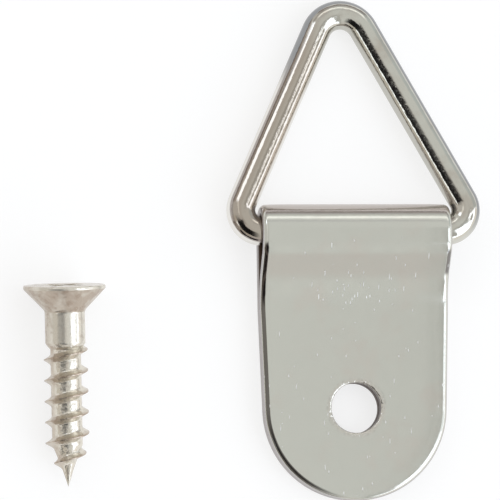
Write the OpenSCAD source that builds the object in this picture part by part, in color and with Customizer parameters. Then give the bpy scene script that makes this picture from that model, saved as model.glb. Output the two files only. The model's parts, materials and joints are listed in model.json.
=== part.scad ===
// Triangle picture hanger: a folded strap, the wire ring that swings in its curl, and its screw.
// It lies on its back: +X along the hinge, +Y towards the ring, +Z away from the picture frame.
// The origin is on the screw hole's axis, in the plane of the strap's back face.

/* [Strap] */
// Thickness of the strap's sheet
sheet_t = 0.9; // [0.6:0.05:1.1]
// Width of the strap at its curl
strap_w = 15.1; // [12:0.1:20]
// Width of the strap across its round end
end_w = 14.6; // [11:0.1:19]
// Distance from the screw hole to the hinge line
hinge_y = 13.95; // [13:0.05:22]
// Gap between the two flat leaves
leaf_gap = 0.1; // [0.05:0.05:0.3]
// Flat run of the front leaf between the curl and the joggle
shoulder_l = 1.2; // [0.6:0.1:2]
// Slope of the joggle that brings the front leaf down to the back leaf
joggle_angle = 40; // [30:1:55]
// Inside radius of the joggle's two bends
joggle_r = 0.9; // [0.5:0.1:1.2]

/* [Screw hole] */
// Diameter of the hole through both leaves
hole_d = 3.95; // [3.2:0.05:5]
// Depth of the lip around the hole in the front leaf
hole_lip = 0.25; // [0.1:0.05:0.4]

/* [Ring] */
// Diameter of the ring's wire
wire_d = 2.3; // [1.6:0.1:3]
// Running clearance around the wire in the curl
wire_clearance = 0.08; // [0.03:0.01:0.1]
// Straight run of the ring's base past the curl's bore on each side
side_play = 0.25; // [0.2:0.05:1]
// Angle between the ring's base and its left leg
left_angle = 65.5; // [55:0.5:72]
// Angle between the ring's base and its right leg
right_angle = 61; // [55:0.5:72]
// Radius of the two lower bends, on the wire's centre line
corner_r = 1.65; // [1.5:0.05:3]
// Radius of the upper bend, on the wire's centre line
apex_r = 2.1; // [1.6:0.05:3]
// Gap between the wire's two ends, inside the curl
butt_gap = 0.3; // [0.1:0.1:1]

/* [Wood screw] */
// Length of the screw over its head
screw_l = 15.8; // [15:0.1:20]
// Diameter over the thread
thread_d = 3.45; // [3:0.05:3.8]
// Diameter of the core between the threads
core_d = 2.4; // [2:0.1:2.6]
// Diameter of the smooth shank
shank_d = 3.15; // [2.8:0.05:3.4]
// Distance from one thread to the next
pitch = 1.63; // [1.4:0.01:1.8]
// Diameter of the countersunk head
head_d = 6.45; // [6:0.05:7.4]
// Height of the head's straight rim
rim_h = 0.35; // [0.2:0.05:0.5]
// Distance from the head's top to the end of its countersink
head_h = 2.2; // [2:0.1:2.6]
// Distance from the head's top to the end of the smooth shank
shank_end = 4.6; // [4:0.1:5.5]
// Length of the tapered end, from the full thread to the point
taper_l = 3.3; // [2.5:0.1:4]
// Width of the cross recess
cross_w = 3.8; // [3:0.1:4.2]
// Thickness of the recess's wings
wing_t = 0.9; // [0.7:0.05:1.1]
// Depth of the recess
cross_depth = 1.9; // [1.4:0.1:2.2]
// Distance from the hanger's middle to the screw laid beside it
screw_side = 23.2; // [18:0.1:30]
// Place of the screw's head along the hanger
screw_y = 9.7; // [0:0.1:20]
// Turn of the screw from the hanger's length
screw_lean = 1.3; // [-10:0.1:10]

/* [Hidden] */
$fn = 64;
eps = 0.01;
// Each straight run laps into the bends at its ends, and the bends are this much fuller than the runs
lap = 0.05;
seam = 0.002;
wire_r = wire_d / 2;
bore_r = wire_r + wire_clearance;
hinge_z = sheet_t + bore_r;

// Strap: the middle lines of its rounded edges, the joggle's path and the taper's tangent points
edge_r = sheet_t / 2;
core_w = strap_w - sheet_t;
end_core_r = end_w / 2 - edge_r;
raised_z = hinge_z + bore_r;
front_z = sheet_t + leaf_gap;
slope_l = (raised_z - front_z - (2 * joggle_r + sheet_t) * (1 - cos(joggle_angle)))
  / sin(joggle_angle);
slope_y = hinge_y - shoulder_l - joggle_r * sin(joggle_angle);
slope_z = raised_z - joggle_r * (1 - cos(joggle_angle));
foot_y = slope_y - slope_l * cos(joggle_angle) - (joggle_r + sheet_t) * sin(joggle_angle);
foot_l = 0.2;
leaf_y = foot_y - foot_l;
leaf_reach = norm([core_w / 2, leaf_y]);
taper_angle = atan2(leaf_y, core_w / 2) - acos(end_core_r / leaf_reach);
taper_run = sqrt(leaf_reach ^ 2 - end_core_r ^ 2);
stack_t = 2 * sheet_t + leaf_gap;

// Ring: its triangle on the wire's centre line, and how far it sinks to lie on the surface
base_run = core_w + 2 * side_play;
apex_angle = 180 - left_angle - right_angle;
left_cut = corner_r / tan(left_angle / 2);
right_cut = corner_r / tan(right_angle / 2);
apex_cut = apex_r / tan(apex_angle / 2);
base_l = base_run + left_cut + right_cut;
left_leg = base_l * sin(right_angle) / sin(apex_angle) - left_cut - apex_cut;
right_leg = base_l * sin(left_angle) / sin(apex_angle) - right_cut - apex_cut;
right_turn = 180 - right_angle;
left_turn = 180 - left_angle;
apex_top = corner_r * (1 - cos(right_turn)) + right_leg * sin(right_turn)
  + apex_r * (1 + cos(right_turn));
droop = asin((hinge_z - wire_r) / apex_top);

// Screw: the stations of its thread and how it leans when it lies on its head's rim
head_r = head_d / 2;
shank_r = shank_d / 2;
core_r = core_d / 2;
thread_h = (thread_d - core_d) / 2;
neck_z = shank_end + (shank_r - core_r);
thread_start = shank_end - 0.85;
taper_z = screw_l - taper_l;
crest_at = 0.24 * pitch;
crest_w = 0.05 * pitch;
steps = 32;
point_z = screw_l - taper_l * 0.45;
point_r = core_r * 0.4;
fade_z = point_z + 0.7;
columns = floor((fade_z - thread_start - 2 * crest_at - crest_w) / pitch * steps);
rest_tilt = atan((head_r - thread_d / 2) / (taper_z - rim_h));
rest_z = head_r * cos(rest_tilt) + rim_h * sin(rest_tilt);
crest_side = 183;

// Half of the sheet's rounded edge, with its flat side on the Y axis
module edge_section(inset = 0) {
  intersection() {
    translate([0, edge_r])
      circle(r = edge_r - inset);
    square([sheet_t, sheet_t]);
  }
}

// The strip across the strap: flat sheet between two rounded edges
module strip_section(inset = 0) {
  translate([-core_w / 2, inset])
    square([core_w, sheet_t - 2 * inset]);
  for (side = [0, 1])
    mirror([side, 0])
      translate([core_w / 2, 0])
        edge_section(inset);
}

// A straight length of strip running towards -Y, turned down by an angle
module strip_run(length, down = 0) {
  rotate([90 + down, 0, 0])
    translate([0, 0, -lap])
      linear_extrude(length + 2 * lap)
        strip_section(seam);
}

// A bend of the strip around the X axis, starting at -Z and turning through +Y
module strip_bend(inside_r, angle) {
  rotate([0, 90, 0])
    rotate_extrude(angle = angle)
      translate([inside_r, 0])
        rotate(-90)
          strip_section();
}

// One flat leaf: its round end, and the tapered sheet with rounded sides that laps into it
module leaf() {
  side_dir = [-sin(taper_angle), cos(taper_angle)];
  side_foot = end_core_r * [cos(taper_angle), sin(taper_angle)] - lap * side_dir;
  rotate([0, 0, 180 - taper_angle])
    rotate_extrude(angle = 180 + 2 * taper_angle) {
      square([end_core_r, sheet_t]);
      translate([end_core_r, 0])
        edge_section();
    }
  translate([0, 0, 2 * seam])
    linear_extrude(sheet_t - 4 * seam)
      polygon([
        [core_w / 2, leaf_y],
        [-core_w / 2, leaf_y],
        [-side_foot[0], side_foot[1]],
        [0, -2 * lap],
        side_foot
      ]);
  for (side = [0, 1])
    mirror([side, 0, 0])
      translate([side_foot[0], side_foot[1], edge_r])
        rotate([-90, 0, taper_angle])
          cylinder(h = taper_run + 2 * lap, r = edge_r - 3 * seam);
}

// The screw hole through both leaves, with the lip of the front leaf
module screw_hole() {
  translate([0, 0, -1])
    cylinder(h = stack_t + 2, d = hole_d);
  translate([0, 0, stack_t - hole_lip])
    cylinder(h = 2 * hole_lip, d1 = hole_d, d2 = hole_d + 4 * hole_lip);
}

module strap() {
  color([0.76, 0.76, 0.72])
    difference() {
      union() {
        leaf();
        translate([0, hinge_y, 0])
          strip_run(hinge_y - leaf_y);
        translate([0, hinge_y, hinge_z])
          strip_bend(bore_r, 180);
        translate([0, hinge_y, raised_z])
          strip_run(shoulder_l);
        translate([0, hinge_y - shoulder_l, raised_z - joggle_r])
          rotate([180, 0, 0])
            strip_bend(joggle_r, joggle_angle);
        translate([0, slope_y, slope_z])
          strip_run(slope_l, joggle_angle);
        translate([0, foot_y, stack_t + joggle_r])
          strip_bend(joggle_r, joggle_angle);
        translate([0, foot_y, front_z])
          strip_run(foot_l);
        translate([0, 0, front_z])
          leaf();
      }
      screw_hole();
    }
}

// A straight length of wire along +X, with what follows it at its end
module wire_run(length, before = lap, after = lap) {
  translate([-before, 0, 0])
    rotate([0, 90, 0])
      cylinder(h = length + before + after, r = wire_r);
  translate([length, 0, 0])
    children();
}

// A bend of the wire to the left, with what follows it at its end
module wire_bend(bend_r, angle) {
  translate([0, bend_r, 0]) {
    rotate([0, 0, -90])
      rotate_extrude(angle = angle)
        translate([bend_r, 0])
          circle(r = wire_r + seam);
    rotate([0, 0, angle])
      translate([0, -bend_r, 0])
        children();
  }
}

module triangle_ring() {
  half_run = (base_run - butt_gap) / 2;
  color([0.80, 0.80, 0.77])
    translate([0, hinge_y, hinge_z])
      rotate([-droop, 0, 0])
        translate([butt_gap / 2, 0, 0])
          wire_run(half_run, before = 0)
            wire_bend(corner_r, right_turn)
              wire_run(right_leg)
                wire_bend(apex_r, 180 - apex_angle)
                  wire_run(left_leg)
                    wire_bend(corner_r, left_turn)
                      wire_run(half_run, after = 0);
}

// Radius of the screw's core at a distance from the head's top
function core_at(z) =
  z < taper_z ? core_r
  : z < point_z ? core_r + (point_r - core_r) * (z - taper_z) / (point_z - taper_z)
  : point_r * (screw_l - z) / (screw_l - point_z);

// Height of the thread at a column, growing from the shank and fading towards the point
function thread_at(i) =
  thread_h * min(1, i / (steps / 2), (columns - i) / (steps * 0.45));

// One point of the thread: the foot above, the two crest edges and the foot below
function thread_point(i, j) =
  let (
    angle = crest_side + 360 * i / steps,
    offset = [0, crest_at, crest_at + crest_w, 2 * crest_at + crest_w][j],
    z = thread_start + pitch * i / steps + offset,
    r = core_at(z) + (j == 1 || j == 2 ? thread_at(i) : 0)
  )
  [r * cos(angle), r * sin(angle), z];

// Two triangles in place of a bent four-sided face
function split(a, b, c, d) = [[a, b, c], [a, c, d]];

// The threaded core with its point, as one closed helical surface
module threaded_core() {
  function at(i, j) = i * 4 + j;
  neck = (columns + 1) * 4;
  tip = neck + steps;
  last = columns - steps;
  seam_top = [neck, at(0, 0), at(0, 1), at(0, 2), at(0, 3), at(steps, 0)];
  seam_end = [at(last, 3), at(columns, 0), at(columns, 1), at(columns, 2), at(columns, 3), tip];
  points = [
    for (i = [0:columns], j = [0:3]) thread_point(i, j),
    for (k = [0:steps - 1])
      let (angle = crest_side + 360 * k / steps)
      [core_r * cos(angle), core_r * sin(angle), head_h],
    [0, 0, screw_l]
  ];
  faces = [
    for (i = [0:columns - 1], j = [0:2])
      each split(at(i, j), at(i, j + 1), at(i + 1, j + 1), at(i + 1, j)),
    for (i = [0:last - 1])
      each split(at(i, 3), at(i + steps, 0), at(i + steps + 1, 0), at(i + 1, 3)),
    for (k = [0:steps - 2])
      each split(neck + k, at(k, 0), at(k + 1, 0), neck + k + 1),
    [at(steps - 1, 0), neck, neck + steps - 1],
    for (k = [0:4]) [at(steps - 1, 0), seam_top[k + 1], seam_top[k]],
    for (i = [last + 1:columns - 1]) [at(i, 3), tip, at(i + 1, 3)],
    for (k = [0:4]) [at(last + 1, 3), seam_end[k], seam_end[k + 1]],
    [for (k = [0:steps - 1]) neck + k]
  ];
  polyhedron(points = points, faces = faces);
}

// Head and smooth shank, turned in one piece
module screw_blank() {
  edge = 0.1;
  rotate_extrude()
    polygon([
      [0, 0],
      [head_r - edge, 0],
      [head_r, edge],
      [head_r, rim_h],
      [shank_r + 0.35, head_h - 0.55],
      [shank_r + 0.1, head_h - 0.2],
      [shank_r, head_h],
      [shank_r, shank_end],
      [core_r + 0.05, neck_z],
      [0, neck_z]
    ]);
}

// Cross recess in the head
module cross_recess() {
  foot = cross_w * 0.45;
  for (turn = [0, 90])
    rotate([0, 0, turn + 45])
      rotate([90, 0, 0])
        translate([0, 0, -wing_t / 2])
          linear_extrude(wing_t)
            polygon([
              [-cross_w / 2, -eps],
              [cross_w / 2, -eps],
              [foot / 2, cross_depth],
              [-foot / 2, cross_depth]
            ]);
  translate([0, 0, -eps])
    cylinder(h = cross_depth + 0.25, r1 = wing_t * 1.05, r2 = wing_t * 0.35);
}

module wood_screw() {
  color([0.82, 0.81, 0.79])
    translate([-screw_side, screw_y, rest_z])
      rotate([90 + rest_tilt, 0, screw_lean]) {
        difference() {
          screw_blank();
          cross_recess();
        }
        threaded_core();
      }
}

strap();
triangle_ring();
wood_screw();
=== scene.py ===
"""Looks of a triangle picture hanger: a folded strap, its swinging wire ring and its wood screw.

All sizes are in millimetres until a mesh is placed, and the frame is the part's own:
+X along the hinge, +Y towards the ring, +Z out of the surface that the hanger lies on.
"""

import json
import logging
import math
from dataclasses import dataclass, field
from enum import Enum

import bmesh
import bpy
from mathutils import Euler, Matrix, Vector


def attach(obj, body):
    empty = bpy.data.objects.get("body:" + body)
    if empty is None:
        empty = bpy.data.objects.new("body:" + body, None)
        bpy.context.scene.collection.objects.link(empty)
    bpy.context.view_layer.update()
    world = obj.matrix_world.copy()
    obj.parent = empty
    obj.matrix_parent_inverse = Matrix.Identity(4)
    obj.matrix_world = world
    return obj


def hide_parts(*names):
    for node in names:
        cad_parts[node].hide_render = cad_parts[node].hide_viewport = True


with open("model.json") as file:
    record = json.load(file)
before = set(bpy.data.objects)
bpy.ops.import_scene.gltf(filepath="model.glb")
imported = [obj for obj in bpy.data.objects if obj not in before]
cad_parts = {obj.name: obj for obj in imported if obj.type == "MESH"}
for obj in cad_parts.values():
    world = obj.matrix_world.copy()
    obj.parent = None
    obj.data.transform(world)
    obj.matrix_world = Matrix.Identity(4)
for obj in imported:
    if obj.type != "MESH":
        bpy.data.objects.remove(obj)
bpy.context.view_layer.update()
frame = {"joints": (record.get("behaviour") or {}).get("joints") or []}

MM = 0.001
log = logging.getLogger("hanger")

Colour = tuple[float, float, float]
Point = tuple[float, float, float]
Pair = tuple[float, float]
Ramp = tuple[float, float, float, float]
Station = tuple[float, float, float, float]
Rows = list[list[Point]]
Inputs = dict[str, object]
Socket = bpy.types.NodeSocket


class Body(Enum):
    """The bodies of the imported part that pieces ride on."""

    STRAP = "strap"
    RING = "ring"
    SCREW = "screw"


class Slot(Enum):
    """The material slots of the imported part's record."""

    STRAP = "strap_nickel"
    RING = "ring_nickel"
    SCREW = "screw_nickel"


@dataclass(frozen=True)
class Noise:
    """A noise pattern: its features per millimetre, its octaves and the share of each further octave.

    The features are the same on every axis, or given for each. The depth is for one that stands out.
    """

    scale: float | Point
    detail: float
    roughness: float = 0.5
    depth: float = 0.0


@dataclass(frozen=True)
class Mark:
    """A kind of mark in a face: its cells per millimetre, its radius in cells, and its share of the cells.

    The share is given away from the band of rubbing and inside it.
    """

    cells: Point
    radius: float
    share: Pair


class Graph:
    """A node tree with short calls for adding and joining its nodes."""

    def __init__(self, tree: bpy.types.NodeTree) -> None:
        """Keeps the tree and clears it.

        Args:
            tree: The shader or geometry tree to fill.
        """
        self.tree = tree
        tree.nodes.clear()

    def feed(self, socket: Socket, value: object) -> None:
        """Fills an input.

        Args:
            socket: The input.
            value: An output to link to it, or a constant.
        """
        if isinstance(value, Socket):
            self.tree.links.new(value, socket)
        elif socket.type == "RGBA":
            socket.default_value = (*value, 1.0)
        else:
            socket.default_value = value

    def add(self, kind: str, inputs: Inputs | None = None, **settings: object) -> bpy.types.Node:
        """Adds a node.

        Args:
            kind: The node's type name.
            inputs: Values or links for its inputs, by identifier or name.
            **settings: Properties of the node.

        Returns:
            The new node.
        """
        node = self.tree.nodes.new(kind)
        for key, value in settings.items():
            setattr(node, key, value)
        for key, value in (inputs or {}).items():
            exact = [s for s in node.inputs if s.identifier == key]
            named = [s for s in node.inputs if s.name == key]
            self.feed((exact or named)[0], value)
        return node

    def out(self, kind: str, inputs: Inputs | None = None, **settings: object) -> Socket:
        """Adds a node as add does, and returns its first output."""
        return self.add(kind, inputs, **settings).outputs[0]

    def math(self, operation: str, *values: object) -> Socket:
        """Adds Math nodes.

        Args:
            operation: Their operation.
            *values: One value, or more, which are joined in order.

        Returns:
            The result's socket.
        """
        result, *others = values
        for other in others or [None]:
            node = self.add("ShaderNodeMath", operation=operation)
            self.feed(node.inputs[0], result)
            if other is not None:
                self.feed(node.inputs[1], other)
            result = node.outputs[0]
        return result

    def all_of(self, *masks: object) -> Socket:
        """Returns where all the masks overlap."""
        return self.math("MULTIPLY", *masks)

    def any_of(self, *masks: object) -> Socket:
        """Returns where any of the masks is set."""
        return self.math("MAXIMUM", *masks)

    def ramp(self, value: object, start: float, end: float, low: float = 0.0, high: float = 1.0) -> Socket:
        """Adds a smooth step.

        Args:
            value: The value to map.
            start: Where the step begins.
            end: Where the step ends, which may be below its start.
            low: The result before the step.
            high: The result after the step.

        Returns:
            The result's socket.
        """
        if end < start:
            start, end, low, high = end, start, high, low
        inputs = {"Value": value, "From Min": start, "From Max": end, "To Min": low, "To Max": high}
        return self.out("ShaderNodeMapRange", inputs, interpolation_type="SMOOTHSTEP")

    def paint(self, ground: object, *layers: tuple[object, object]) -> Socket:
        """Lays colours over each other.

        Args:
            ground: The lowest colour.
            *layers: The share and the colour of each further layer, from the lowest up.

        Returns:
            The resulting colour's socket.
        """
        for share, tone in layers:
            inputs = {"Factor_Float": share, "A_Color": ground, "B_Color": tone}
            node = self.add("ShaderNodeMix", inputs, data_type="RGBA")
            ground = next(s for s in node.outputs if s.identifier == "Result_Color")
        return ground

    def place(self) -> Socket:
        """Returns the place on the object, in millimetres."""
        return self.stretch(self.add("ShaderNodeTexCoord").outputs["Object"], (1 / MM,) * 3)

    def attribute(self, name: str, output: str = "Fac") -> Socket:
        """Returns an attribute of the surface."""
        return self.add("ShaderNodeAttribute", attribute_name=name).outputs[output]

    def split(self, vector: object) -> tuple[Socket, ...]:
        """Returns a vector's three parts."""
        return tuple(self.add("ShaderNodeSeparateXYZ", {"Vector": vector}).outputs)

    def reach(self, x: object, y: object) -> Socket:
        """Returns how far a place in plan is from the origin."""
        spot = self.out("ShaderNodeCombineXYZ", {"X": x, "Y": y})
        return self.add("ShaderNodeVectorMath", {"Vector": spot}, operation="LENGTH").outputs["Value"]

    def stretch(self, vector: object, scale: Point) -> Socket:
        """Returns a coordinate that is scaled along each axis."""
        return self.out("ShaderNodeMapping", {"Vector": vector, "Scale": scale})

    def noise(self, vector: object, noise: Noise) -> Socket:
        """Adds a noise texture.

        Args:
            vector: Its coordinate.
            noise: Its pattern.

        Returns:
            The noise's value, around 0.5.
        """
        scale = noise.scale
        if isinstance(scale, tuple):
            vector, scale = self.stretch(vector, scale), 1.0
        inputs = {"Vector": vector, "Scale": scale, "Detail": noise.detail, "Roughness": noise.roughness}
        return self.out("ShaderNodeTexNoise", inputs)

    def specks(self, vector: object, radius: float, share: object) -> Socket:
        """Marks scattered specks, one at most in each cell of the coordinate's plan.

        Args:
            vector: The coordinate, in cells.
            radius: A speck's radius, in cells.
            share: The share of cells that hold a speck.

        Returns:
            A mask that is 1 inside a speck.
        """
        solid = 0.3
        cells = self.add("ShaderNodeTexVoronoi", {"Vector": vector, "Scale": 1.0}, voronoi_dimensions="2D")
        chance = self.out("ShaderNodeSeparateColor", {"Color": cells.outputs["Color"]})
        dot = self.ramp(cells.outputs["Distance"], radius, radius * solid)
        return self.all_of(dot, self.math("LESS_THAN", chance, share))

    def relief(self, at: Socket, noise: Noise, *masks: Socket) -> tuple[Socket, float]:
        """Returns a noise's height, inside masks if there are any, and its depth."""
        height = self.noise(at, noise)
        return (self.all_of(height, *masks) if masks else height), noise.depth

    def bumps(self, *layers: tuple[Socket, float]) -> Socket:
        """Stacks bumps.

        Args:
            *layers: The height of each, the coarsest first, and the depth of a height of 1.

        Returns:
            The bumped normal's socket.
        """
        below = {}
        for height, depth in layers:
            inputs = {"Height": height, "Distance": depth * MM, "Strength": 1.0, **below}
            below = {"Normal": self.out("ShaderNodeBump", inputs)}
        return below["Normal"]

    def metal(self, colour: Socket, metallic: object, roughness: Socket, normal: Socket) -> None:
        """Ends a material with a plated surface of that colour, metal share, roughness and normal."""
        inputs = {"Base Color": colour, "Metallic": metallic, "Roughness": roughness, "Normal": normal}
        self.add("ShaderNodeOutputMaterial", {"Surface": self.out("ShaderNodeBsdfPrincipled", inputs)})


class RoomGraph(Graph):
    """A world tree that is painted by the direction in which a ray leaves."""

    def __init__(self, tree: bpy.types.NodeTree) -> None:
        """Clears the tree and adds the direction's parts.

        Args:
            tree: The world's tree.
        """
        super().__init__(tree)
        least = 1e-6
        self.x, self.y, self.z = self.split(self.add("ShaderNodeTexCoord").outputs["Generated"])
        level = self.math("SUBTRACT", 1.0, self.math("MULTIPLY", self.z, self.z))
        self.flat = self.math("SQRT", self.math("MAXIMUM", level, least))

    def along(self, azimuth: float, start: Pair = (0.0, 0.0)) -> Socket:
        """Measures how far a direction leans towards a compass direction.

        Args:
            azimuth: The compass direction, in degrees from +X.
            start: The place in plan to measure from.

        Returns:
            The distance in plan, on the unit sphere.
        """
        turn = math.radians(azimuth)
        east = self.math("MULTIPLY", self.math("SUBTRACT", self.x, start[0]), math.cos(turn))
        north = self.math("MULTIPLY", self.math("SUBTRACT", self.y, start[1]), math.sin(turn))
        return self.math("ADD", east, north)

    def lane(self, azimuth: float, start: Pair) -> tuple[Socket, Socket]:
        """Returns the distance along a lane that starts at a place in plan, and to either side of it."""
        return self.along(azimuth, start), self.math("ABSOLUTE", self.along(azimuth + 90, start))

    def sector(self, azimuth: float, half: float, soft: float) -> Socket:
        """Marks the directions near a compass direction.

        Args:
            azimuth: The compass direction, in degrees from +X.
            half: The angle to either side that is marked in full.
            soft: The angle beyond it over which the mark fades.

        Returns:
            The mask.
        """
        cosine = self.math("DIVIDE", self.along(azimuth), self.flat)
        return self.ramp(cosine, math.cos(math.radians(half + soft)), math.cos(math.radians(half)))

    def between(self, value: Socket, low: float, high: float, soft: float) -> Socket:
        """Returns where a value lies between two limits, outside which the mark fades softly."""
        return self.all_of(self.ramp(value, low - soft, low), self.ramp(value, high + soft, high))

    def wedge(self, start: Pair, heading: float, fan: float) -> Socket:
        """Marks a wedge of the plan.

        Args:
            start: The wedge's tip.
            heading: The compass direction that it opens to, in degrees from +X.
            fan: How far each side opens, for each unit of its length.

        Returns:
            The mask.
        """
        soft = 0.012
        out, side = self.lane(heading, start)
        return self.ramp(self.math("SUBTRACT", self.math("MULTIPLY", out, fan), side), -soft, soft)


def new_material(name: str) -> tuple[bpy.types.Material, Graph]:
    """Starts a material.

    Args:
        name: Its name.

    Returns:
        The material, and the graph of its nodes.
    """
    material = bpy.data.materials.new(name)
    material.use_nodes = True
    return material, Graph(material.node_tree)


@dataclass(frozen=True)
class SheetNickel:
    """Nickel plate on rolled sheet: faint cloudiness, hairlines, scratches, and duller sheared edges.

    A pair says where something starts to show and where it shows in full. The edge mark is 0 on the
    outer face, -1 on the face's rounded shoulder, 1 on the sheared edge and 2 on the inner face. The inner
    faces and the screw hole's wall carry painted shade, parts of the rounded shoulders carry painted dark
    reflections, and the curl carries a painted darker, browner reflection band.
    """

    name: str = "sheet_nickel"
    edge_mark: str = "edge"
    tone: Colour = (0.66, 0.66, 0.6)
    warm: Colour = (0.665, 0.615, 0.555)
    edge: Colour = (0.49, 0.465, 0.46)
    # Painted shade on the inner faces between the leaves and on the screw hole's wall.
    inner: Colour = (0.07, 0.045, 0.03)
    # Painted darker, browner reflection band over the curl.
    curl_reflection_tint: Colour = (0.55, 0.5, 0.465)
    # Painted dark reflection along the front face's left rounded shoulder.
    left_shoulder_dark_reflection: Colour = (0.085, 0.072, 0.062)
    # Painted dark reflection on the right rounded shoulder along the joggle's slope.
    slope_shoulder_dark_reflection: Colour = (0.25, 0.24, 0.23)
    scratch: Colour = (0.8, 0.8, 0.78)
    plating: float = 0.88
    cloud: Noise = Noise(0.3, 3.0, 0.6)
    clouded: Ramp = (0.5, 0.75, 0.0, 0.5)
    front_from: Pair = (0.92, 1.08)
    curl_side: Pair = (15.12, 15.42)
    punched: Pair = (2.5, 2.12)
    mouth_warmth: float = 0.5
    noise_middle: float = 0.5
    sheared: Pair = (0.0, 1.0)
    inner_shade_span: Pair = (1.1, 1.9)
    shoulder: Pair = (-0.2, -0.8)
    side_from: Pair = (1.5, 5.0)
    dark_reflection_end: Pair = (13.1, 12.5)
    dark_reflection_fade: Ramp = (7.5, 9.5, 0.82, 1.0)
    slope_low: Pair = (10.3, 10.7)
    slope_high: Pair = (12.5, 12.1)
    rim_from: Pair = (6.2, 6.9)
    rim_side: Pair = (0.0, 3.0)
    curl_from: Pair = (14.0, 14.5)
    rubbed_at: Pair = (-0.3, 9.6)
    rubbed_reach: Pair = (4.4, 1.5)
    rubbed_band_and_side_shade: Pair = (1.2, 0.7)
    scratched_to: Pair = (13.4, 13.1)
    scratch_depth: float = -0.003
    dots: Mark = Mark((1.0, 1.0, 1.0), 0.055, (0.08, 0.2))
    short_marks: Mark = Mark((2.6, 0.6, 2.6), 0.11, (0.085, 0.6))
    long_marks: Mark = Mark((2.3, 0.26, 2.3), 0.09, (0.085, 0.6))
    waves: Noise = Noise(0.16, 1.0, depth=0.02)
    ripple: Noise = Noise(2.2, 2.0, depth=0.0011)
    hairs: Noise = Noise((7.0, 0.3, 7.0), 2.0, depth=0.0005)
    curl_ripple: Noise = Noise(2.6, 1.0, depth=0.004)
    rim_burr: Noise = Noise(1.6, 2.0, depth=0.007)
    mouth_tear: Noise = Noise(3.0, 2.0, depth=0.07)
    satin: Noise = Noise(0.9, 3.0)
    dullness: Ramp = (0.3, 0.7, 0.12, 0.18)
    edge_dullness: Ramp = (0.0, 2.0, 0.0, 0.4)

    def scratches(self, graph: Graph, at: Socket) -> Socket:
        """Marks dots and short scratches along the strap, most of them across the joggle.

        Args:
            graph: The material's graph.
            at: The place, in millimetres.

        Returns:
            A mask that is 1 inside a mark.
        """
        x, y, _ = graph.split(at)
        away = [
            graph.math("DIVIDE", graph.math("SUBTRACT", place, middle), reach)
            for place, middle, reach in zip((x, y), self.rubbed_at, self.rubbed_reach)
        ]
        band = graph.ramp(graph.reach(*away), *self.rubbed_band_and_side_shade)
        kinds = [
            graph.specks(graph.stretch(at, mark.cells), mark.radius, graph.ramp(band, 0.0, 1.0, *mark.share))
            for mark in (self.dots, self.short_marks, self.long_marks)
        ]
        return graph.all_of(graph.any_of(*kinds), graph.ramp(y, *self.scratched_to))

    def material(self) -> bpy.types.Material:
        """Makes the finish.

        Returns:
            The new material.
        """
        material, graph = new_material(self.name)
        at = graph.place()
        x, y, z = graph.split(at)
        edge = graph.attribute(self.edge_mark)
        front = graph.ramp(z, *self.front_from)
        marks = graph.all_of(self.scratches(graph, at), front)
        mouth = graph.all_of(graph.ramp(graph.reach(x, y), *self.punched), front)
        shoulder = graph.all_of(graph.ramp(edge, *self.shoulder), front)
        # Where the painted dark reflection lies: the left rounded shoulder below the curl.
        left = graph.all_of(shoulder, graph.ramp(x, *(-side for side in self.side_from)))
        left = graph.all_of(left, graph.ramp(y, *self.dark_reflection_end), graph.ramp(y, *self.dark_reflection_fade))
        slope = graph.all_of(graph.ramp(y, *self.slope_low), graph.ramp(y, *self.slope_high))
        colour = graph.paint(
            self.tone,
            (graph.ramp(graph.noise(at, self.cloud), *self.clouded), self.warm),
            (graph.all_of(mouth, self.mouth_warmth), self.warm),
            # Painted darker, browner reflection band over the curl.
            (graph.ramp(y, *self.curl_side), self.curl_reflection_tint),
            (graph.ramp(edge, *self.sheared), self.edge),
            # Painted shade on the inner faces and the screw hole's wall.
            (graph.ramp(edge, *self.inner_shade_span), self.inner),
            # Painted dark reflection on the left rounded shoulder.
            (left, self.left_shoulder_dark_reflection),
            # Painted dark reflection on the right shoulder of the joggle's slope.
            (graph.all_of(shoulder, graph.ramp(x, *self.side_from), slope), self.slope_shoulder_dark_reflection),
            (marks, self.scratch),
        )
        round_end = graph.reach(x, graph.math("MINIMUM", y, 0.0))
        rim = graph.all_of(graph.ramp(round_end, *self.rim_from), graph.ramp(x, *self.rim_side))
        tear = graph.math("SUBTRACT", graph.noise(at, self.mouth_tear), self.noise_middle)
        normal = graph.bumps(
            graph.relief(at, self.waves),
            graph.relief(at, self.ripple),
            graph.relief(at, self.hairs),
            (marks, self.scratch_depth),
            graph.relief(at, self.curl_ripple, graph.ramp(y, *self.curl_from)),
            graph.relief(at, self.rim_burr, rim),
            (graph.all_of(tear, mouth), self.mouth_tear.depth),
        )
        plated = graph.math("SUBTRACT", self.plating, graph.all_of(marks, self.plating))
        rough = graph.ramp(graph.noise(at, self.satin), *self.dullness)
        rough = graph.math("ADD", rough, graph.ramp(edge, *self.edge_dullness))
        graph.metal(colour, plated, rough, normal)
        return material


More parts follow.
